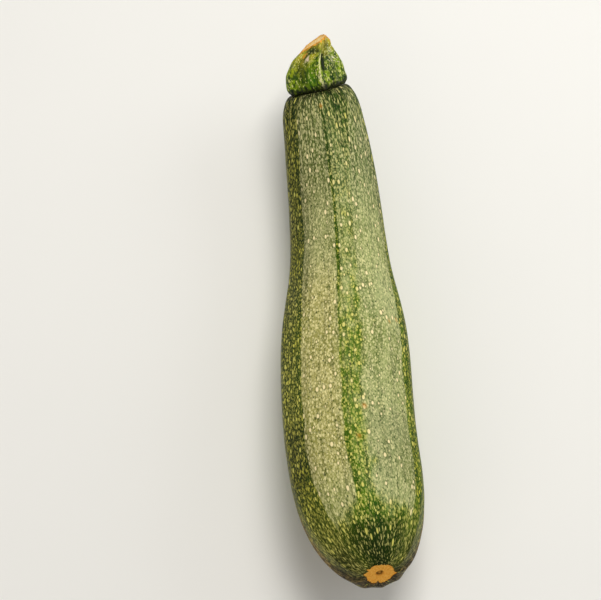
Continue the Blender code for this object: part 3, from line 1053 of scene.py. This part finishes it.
def skin_ground(s, place, pale_and_sheen, streak, ends):
    """The skin between the flecks: green, with sage bands that are partly painted sheen, dark
    lines, streaks, pores, and painted light and shade.
    """
    wide, middling = s.noise(place, 0.06), s.noise(place, 0.5, 3.0)
    cool, warm = [s.between(sage, wide, 0.35, 0.65) for sage in (COOL_SAGE_AND_SHEEN, WARM_SAGE_AND_SHEEN)]
    streaked = s.most(s.step(pale_and_sheen, 0.0, 1.0, 0.66, 0.40), s.times("neck", 0.5))
    inputs = {0: place, 1: PORES_SHIFT}
    shifted = s.node("ShaderNodeVectorMath", inputs, operation="ADD").outputs[0]
    return s.over(
        s.between(GREEN, middling, 0.35, 0.65),
        (OLIVE_GREEN, "olive"),
        (VIVID_GREEN, s.times("vivid", 0.7)),
        (LIT_FLANK_GREEN, "painted_lit_flank"),
        (END_GREEN, s.times(ends, 0.9)),
        (EARTHY_AND_REFLECTED_BROWN, "earthy_and_warm_reflection"),
        (s.mix(cool, warm, "warm"), s.times(pale_and_sheen, s.step("neck", 0.0, 1.0, 1.0, 0.48))),
        (STREAK_GREEN, s.times(s.step(streak, 0.56, 0.3), streaked)),
        (LINE_GREEN, s.times("line", 0.70)),
        # painted shade in the flutes
        (PAINTED_FLUTE_SHADE, s.times("flute", 0.95)),
        (PORE_GREEN, s.times(s.spots(shifted, s.weighted(0.46, (pale_and_sheen, 0.06)), PORES), 0.72)),
        (WELL_GREEN, s.times(s.spots(shifted, 0.22, WELLS), 0.8)),
        # painted shade, partly the skin's own darker tone
        (SHADE, "shade"),
    )


def skin_flecks(s, place, pale_and_sheen, streak, ends):
    """Flecks of three sizes: 1 in the two larger ones, and 1 in the finest."""
    parts = ((streak, 0.30), (pale_and_sheen, 0.02), ("painted_lit_flank", 0.08), (ends, -0.20), ("line", -0.12))
    flecks = s.spots(place, s.weighted(0.45, *parts), FLECKS)
    flecks = s.times(flecks, s.step(pale_and_sheen, 0.0, 1.0, 0.55, 1.0))
    rounder = s.spots(place, s.weighted(0.33, (streak, 0.22), (ends, -0.14)), ROUNDER_FLECKS)
    rounder = s.times(rounder, s.most(s.step(pale_and_sheen, 0.0, 1.0, 1.0, 0.4), s.times("neck", 0.95)))
    finer = s.spots(place, s.weighted(0.60, (ends, -0.30), ("line", -0.20)), FINER_FLECKS)
    finer = s.times(finer, s.weighted(s.step(pale_and_sheen, 0.0, 1.0, 0.42, 0.64), ("neck", -0.1)))
    return s.most(flecks, rounder), finer


def fleck_colour(s, place, pale_and_sheen, ends):
    """Yellow on the dark skin, and cream in the pale bands with their painted sheen, on the neck
    and at the ends, under painted shade.
    """
    yellow = s.between(FLECK_YELLOW, s.noise(place, 0.06), 0.3, 0.7)
    creamier = s.most("neck", s.times("vivid", 0.4))
    creamier = s.times(creamier, s.weighted(0.6, ("olive", -0.6)))
    at_lit_flank = s.times("painted_lit_flank", 0.4)
    return s.over(
        yellow,
        (EARTHY_AND_REFLECTED_FLECK, s.times("earthy_and_warm_reflection", 0.8)),
        (s.mix(*FLECK_CREAM, "warm"), s.most(pale_and_sheen, s.times(ends, 0.5), creamier, at_lit_flank)),
        (SHADE, s.times("shade", 0.6)),
    )


def scar_colour(s, place):
    """Tan cork, which is darker in its pit and at its rim."""
    cork = s.noise(place, 1.3, 4.0)
    in_pit = s.times(s.step("scar_depth", 0.3, 0.8), 0.85)
    tan = s.mix(s.between(CORK_TAN, cork, 0.35, 0.65), s.between(PIT_BROWN, cork, 0.4, 0.6), in_pit)
    return s.mix(SCAR_RIM_BROWN, tan, s.step("scar", 0.4, 0.9))


def skin_material():
    """Green skin under a net of small flecks, which lie closer and paler in the pale bands, partly
    painted sheen.
    """
    s = Shader("courgette_skin")
    place = s.place("straight")
    ragged = s.less(s.noise(place, 0.5, 3.0), 0.5)
    pale_and_sheen = s.step(s.sum("pale_and_sheen", ragged), 0.12, 0.80)
    # Darker towards the ends, partly painted shade at the blossom end
    ends = s.most("blossom_end", s.times("shoulder", 0.6))
    streak = skin_streaks(s, place, ends)
    flecks, finer = skin_flecks(s, place, pale_and_sheen, streak, ends)
    away, _ = s.cells(place, *LARGE_SPOTS)
    large = s.step(away, 1.0, 0.7)
    bright = s.mix(s.mix(*LARGE_SPOT_CREAM, pale_and_sheen), SHADE, s.times("shade", 0.3))
    scar = s.step("scar", 0.1, 0.4)
    skin = s.over(
        skin_ground(s, place, pale_and_sheen, streak, ends),
        (fleck_colour(s, place, pale_and_sheen, ends), s.most(finer, flecks)),
        (PORE_GREEN, s.step(away, 1.9, 1.1, 0.0, 0.35)),
        (bright, s.times(large, 0.92)),
        (BLEMISH_BROWN, s.times("blemish", 0.7)),
        (scar_colour(s, place), scar),
    )
    s.feed(s.surface["Base Color"], skin)
    gloss = s.step(s.noise(place, 0.8, 3.0), 0.3, 0.7, 0.44, 0.54)
    s.feed(s.surface["Roughness"], s.weighted(gloss, (scar, 0.4)))
    s.feed(s.surface["Specular IOR Level"], 0.08)
    height = s.weighted(0.0, (flecks, 0.5), (large, 0.8), (s.noise(place, 2.2, 3.0), 0.8))
    s.bump(height, 0.35, 0.12 * MM)
    return s.material


def stalk_side(s, place, mottle, fray):
    """Green with dark furrows, a golden spot, and painted shade in the groove and under the cut's
    lip. Also returns where the groove is.
    """
    streak = s.noise(s.drawn_out(place, STALK_STREAK_RATE), 0.8, 3.0)
    patch = s.noise(place, 0.4, 3.0)
    tone = s.weighted(0.0, (streak, 0.4), (mottle, 0.6))
    groove = s.step(s.weighted("groove", (fray, 0.4)), 0.12, 0.75)
    side = s.over(
        s.between(STALK_GREEN, tone, 0.41, 0.57),
        (PATCH_GREEN, s.step(patch, 0.48, 0.40, 0.0, 0.55)),
        (STALK_VIVID_GREEN, s.times("vivid", 0.75)),
        (s.between(STALK_GOLD, tone, 0.40, 0.60), s.times("yellow", 0.7)),
        (STALK_YELLOW, s.step(s.sum("up_share", patch), 1.1, 1.6)),
        (FURROW_GREEN, s.step("crest", 0.3, 0.0, 0.0, 0.5)),
        (PAINTED_GROOVE_SHADE, s.times(groove, 0.96)),
        (PAINTED_LIP_SHADOW, s.step(s.sum("painted_lip_shadow", fray), 0.2, 0.7, 0.0, 0.9)),
    )
    return side, groove


def stalk_material():
    """Vivid green stalk with pale ridges and flecks, and a cream cut."""
    s = Shader("courgette_stalk")
    place = s.place("local")
    patch, mottle = s.noise(place, 0.4, 3.0), s.noise(place, 1.1, 4.0)
    fibre = s.noise(place, 1.6, 3.0)
    fray = s.times(s.less(fibre, 0.5), 1.6)
    side, groove = stalk_side(s, place, mottle, fray)

    # Pale flecks, ridges and bristles, and painted shade at the foot
    size = s.weighted(s.step("speckled", 0, 1, -0.14, 0.0), (patch, 1.3), (groove, -0.4))
    flecks = s.spots(place, size, STALK_FLECKS)
    dots = s.spots(place, s.times("dotted", 0.75), STALK_DOTS)
    bristles = s.spots(place, s.times("bristly", 0.8), STALK_BRISTLES)
    ridge = s.step(s.weighted("ridge", (fray, 1.6)), 0.5, 1.0)
    foot = s.step(s.weighted("up_share", (s.less(mottle, 0.5), 0.3)), 0.18, 0.03)
    side = s.over(
        side,
        (STALK_PORE_GREEN, s.times(s.spots(place, 0.55, STALK_PORES), 0.6)),
        (STALK_FLECK_CREAM, s.times(flecks, 0.85)),
        (DOT_CREAM, s.times(dots, 0.85)),
        (BRISTLE_CREAM, s.times(bristles, 0.85)),
        (RIDGE_CREAM, s.times(ridge, 0.8)),
        (RUST, s.step(s.sum("rusty", fray), 0.5, 1.1)),
        (TORN_FLESH, s.step(s.sum("torn", fray), 0.5, 1.1)),
        (FOOT_SHADE, s.times(foot, 0.92)),
    )

    # The cut, and its frayed edge
    orange = s.between(CUT_ORANGE, mottle, 0.4, 0.6)
    at_rim = s.step(s.sum("rim", fray), 0.6, 1.1)
    cut = s.mix(s.between(CUT_CREAM, fibre, 0.36, 0.64), orange, at_rim)
    frayed = s.step(s.sum("near_cut", fray), 0.45, 0.8)
    on_cut = s.step("cut", 0.3, 0.7)
    s.feed(s.surface["Base Color"], s.over(side, (orange, frayed), (cut, on_cut)))
    s.feed(s.surface["Roughness"], s.weighted(s.step(patch, 0.3, 0.7, 0.42, 0.56), (on_cut, 0.3)))
    s.feed(s.surface["Specular IOR Level"], 0.18)
    height = s.weighted(0.0, (flecks, 0.5), (s.noise(place, 1.3, 4.0), 1.6))
    s.bump(height, 0.6, 0.25 * MM)
    return s.material


def floor_material():
    s = Shader("floor")
    grain = s.noise(s.node("ShaderNodeTexCoord", {}).outputs["Object"], 9.0, 3.0)
    s.feed(s.surface["Base Color"], s.mix(*FLOOR_PALE, grain))
    s.feed(s.surface["Roughness"], 0.9)
    return s.material


# Pieces and the studio


def add_piece(name, data, finish, body, node):
    piece = bpy.data.objects.new(name, data)
    bpy.context.scene.collection.objects.link(piece)
    data.materials.append(finish)
    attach(piece, body)
    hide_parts(node)


def add_floor():
    size = FLOOR_HALF_SIZE
    corners = [(-size, -size, 0), (size, -size, 0), (size, size, 0), (-size, size, 0)]
    data = bpy.data.meshes.new("floor")
    data.from_pydata(corners, [], [(0, 1, 2, 3)])
    data.materials.append(floor_material())
    floor = bpy.data.objects.new("floor", data)
    bpy.context.scene.collection.objects.link(floor)


def add_softbox(name, place, size, power, tint):
    """A square soft light that looks at the courgette."""
    lamp = bpy.data.lights.new(name, "AREA")
    lamp.shape = "SQUARE"
    lamp.size = size
    lamp.energy = power
    lamp.color = tint
    holder = bpy.data.objects.new(name, lamp)
    holder.location = place
    holder.rotation_euler = (-Vector(place)).to_track_quat("-Z", "Y").to_euler()
    bpy.context.scene.collection.objects.link(holder)


def add_world():
    world = bpy.data.worlds.new("studio")
    world.use_nodes = True
    back = world.node_tree.nodes["Background"]
    back.inputs["Color"].default_value = WORLD_TINT
    back.inputs["Strength"].default_value = WORLD_STRENGTH
    bpy.context.scene.world = world


def add_camera():
    turn, height = math.radians(CAMERA_TURN), math.radians(CAMERA_HEIGHT)
    flat = Vector((math.sin(turn), -math.cos(turn), 0)) * math.cos(height)
    back = flat + Vector((0, 0, math.sin(height)))
    right = Vector((math.cos(turn), math.sin(turn), 0))
    camera = bpy.data.objects.new("camera", bpy.data.cameras.new("camera"))
    camera.data.lens = CAMERA_LENS
    camera.data.clip_start = 0.01
    place = (Vector(CAMERA_TARGET) + CAMERA_DISTANCE * back) * MM
    axes = Matrix((right, back.cross(right), back)).transposed()
    camera.matrix_world = Matrix.Translation(place) @ axes.to_4x4()
    bpy.context.scene.collection.objects.link(camera)
    bpy.context.scene.camera = camera


def main():
    fruit, fruit_length, fruit_values = fruit_surface()
    stalk, stalk_length, stalk_values = stalk_surface()
    fruit, stalk = laid_down(fruit), laid_down(stalk)
    shift = to_frame(fruit, stalk)
    fruit, stalk = fruit + shift, stalk + shift
    fruit[..., 2] = np.maximum(fruit[..., 2], 0)
    data = ring_mesh("courgette_fruit", fruit, fruit_length, fruit_values)
    add_piece("courgette_fruit", data, skin_material(), "root", "fruit")
    data = ring_mesh("courgette_stalk", stalk, stalk_length, stalk_values)
    add_piece("courgette_stalk", data, stalk_material(), "root", "stalk")
    add_floor()
    for light in SOFT_LIGHTS:
        add_softbox(*light)
    add_world()
    add_camera()
    bpy.context.scene.view_settings.view_transform = "Standard"


main()
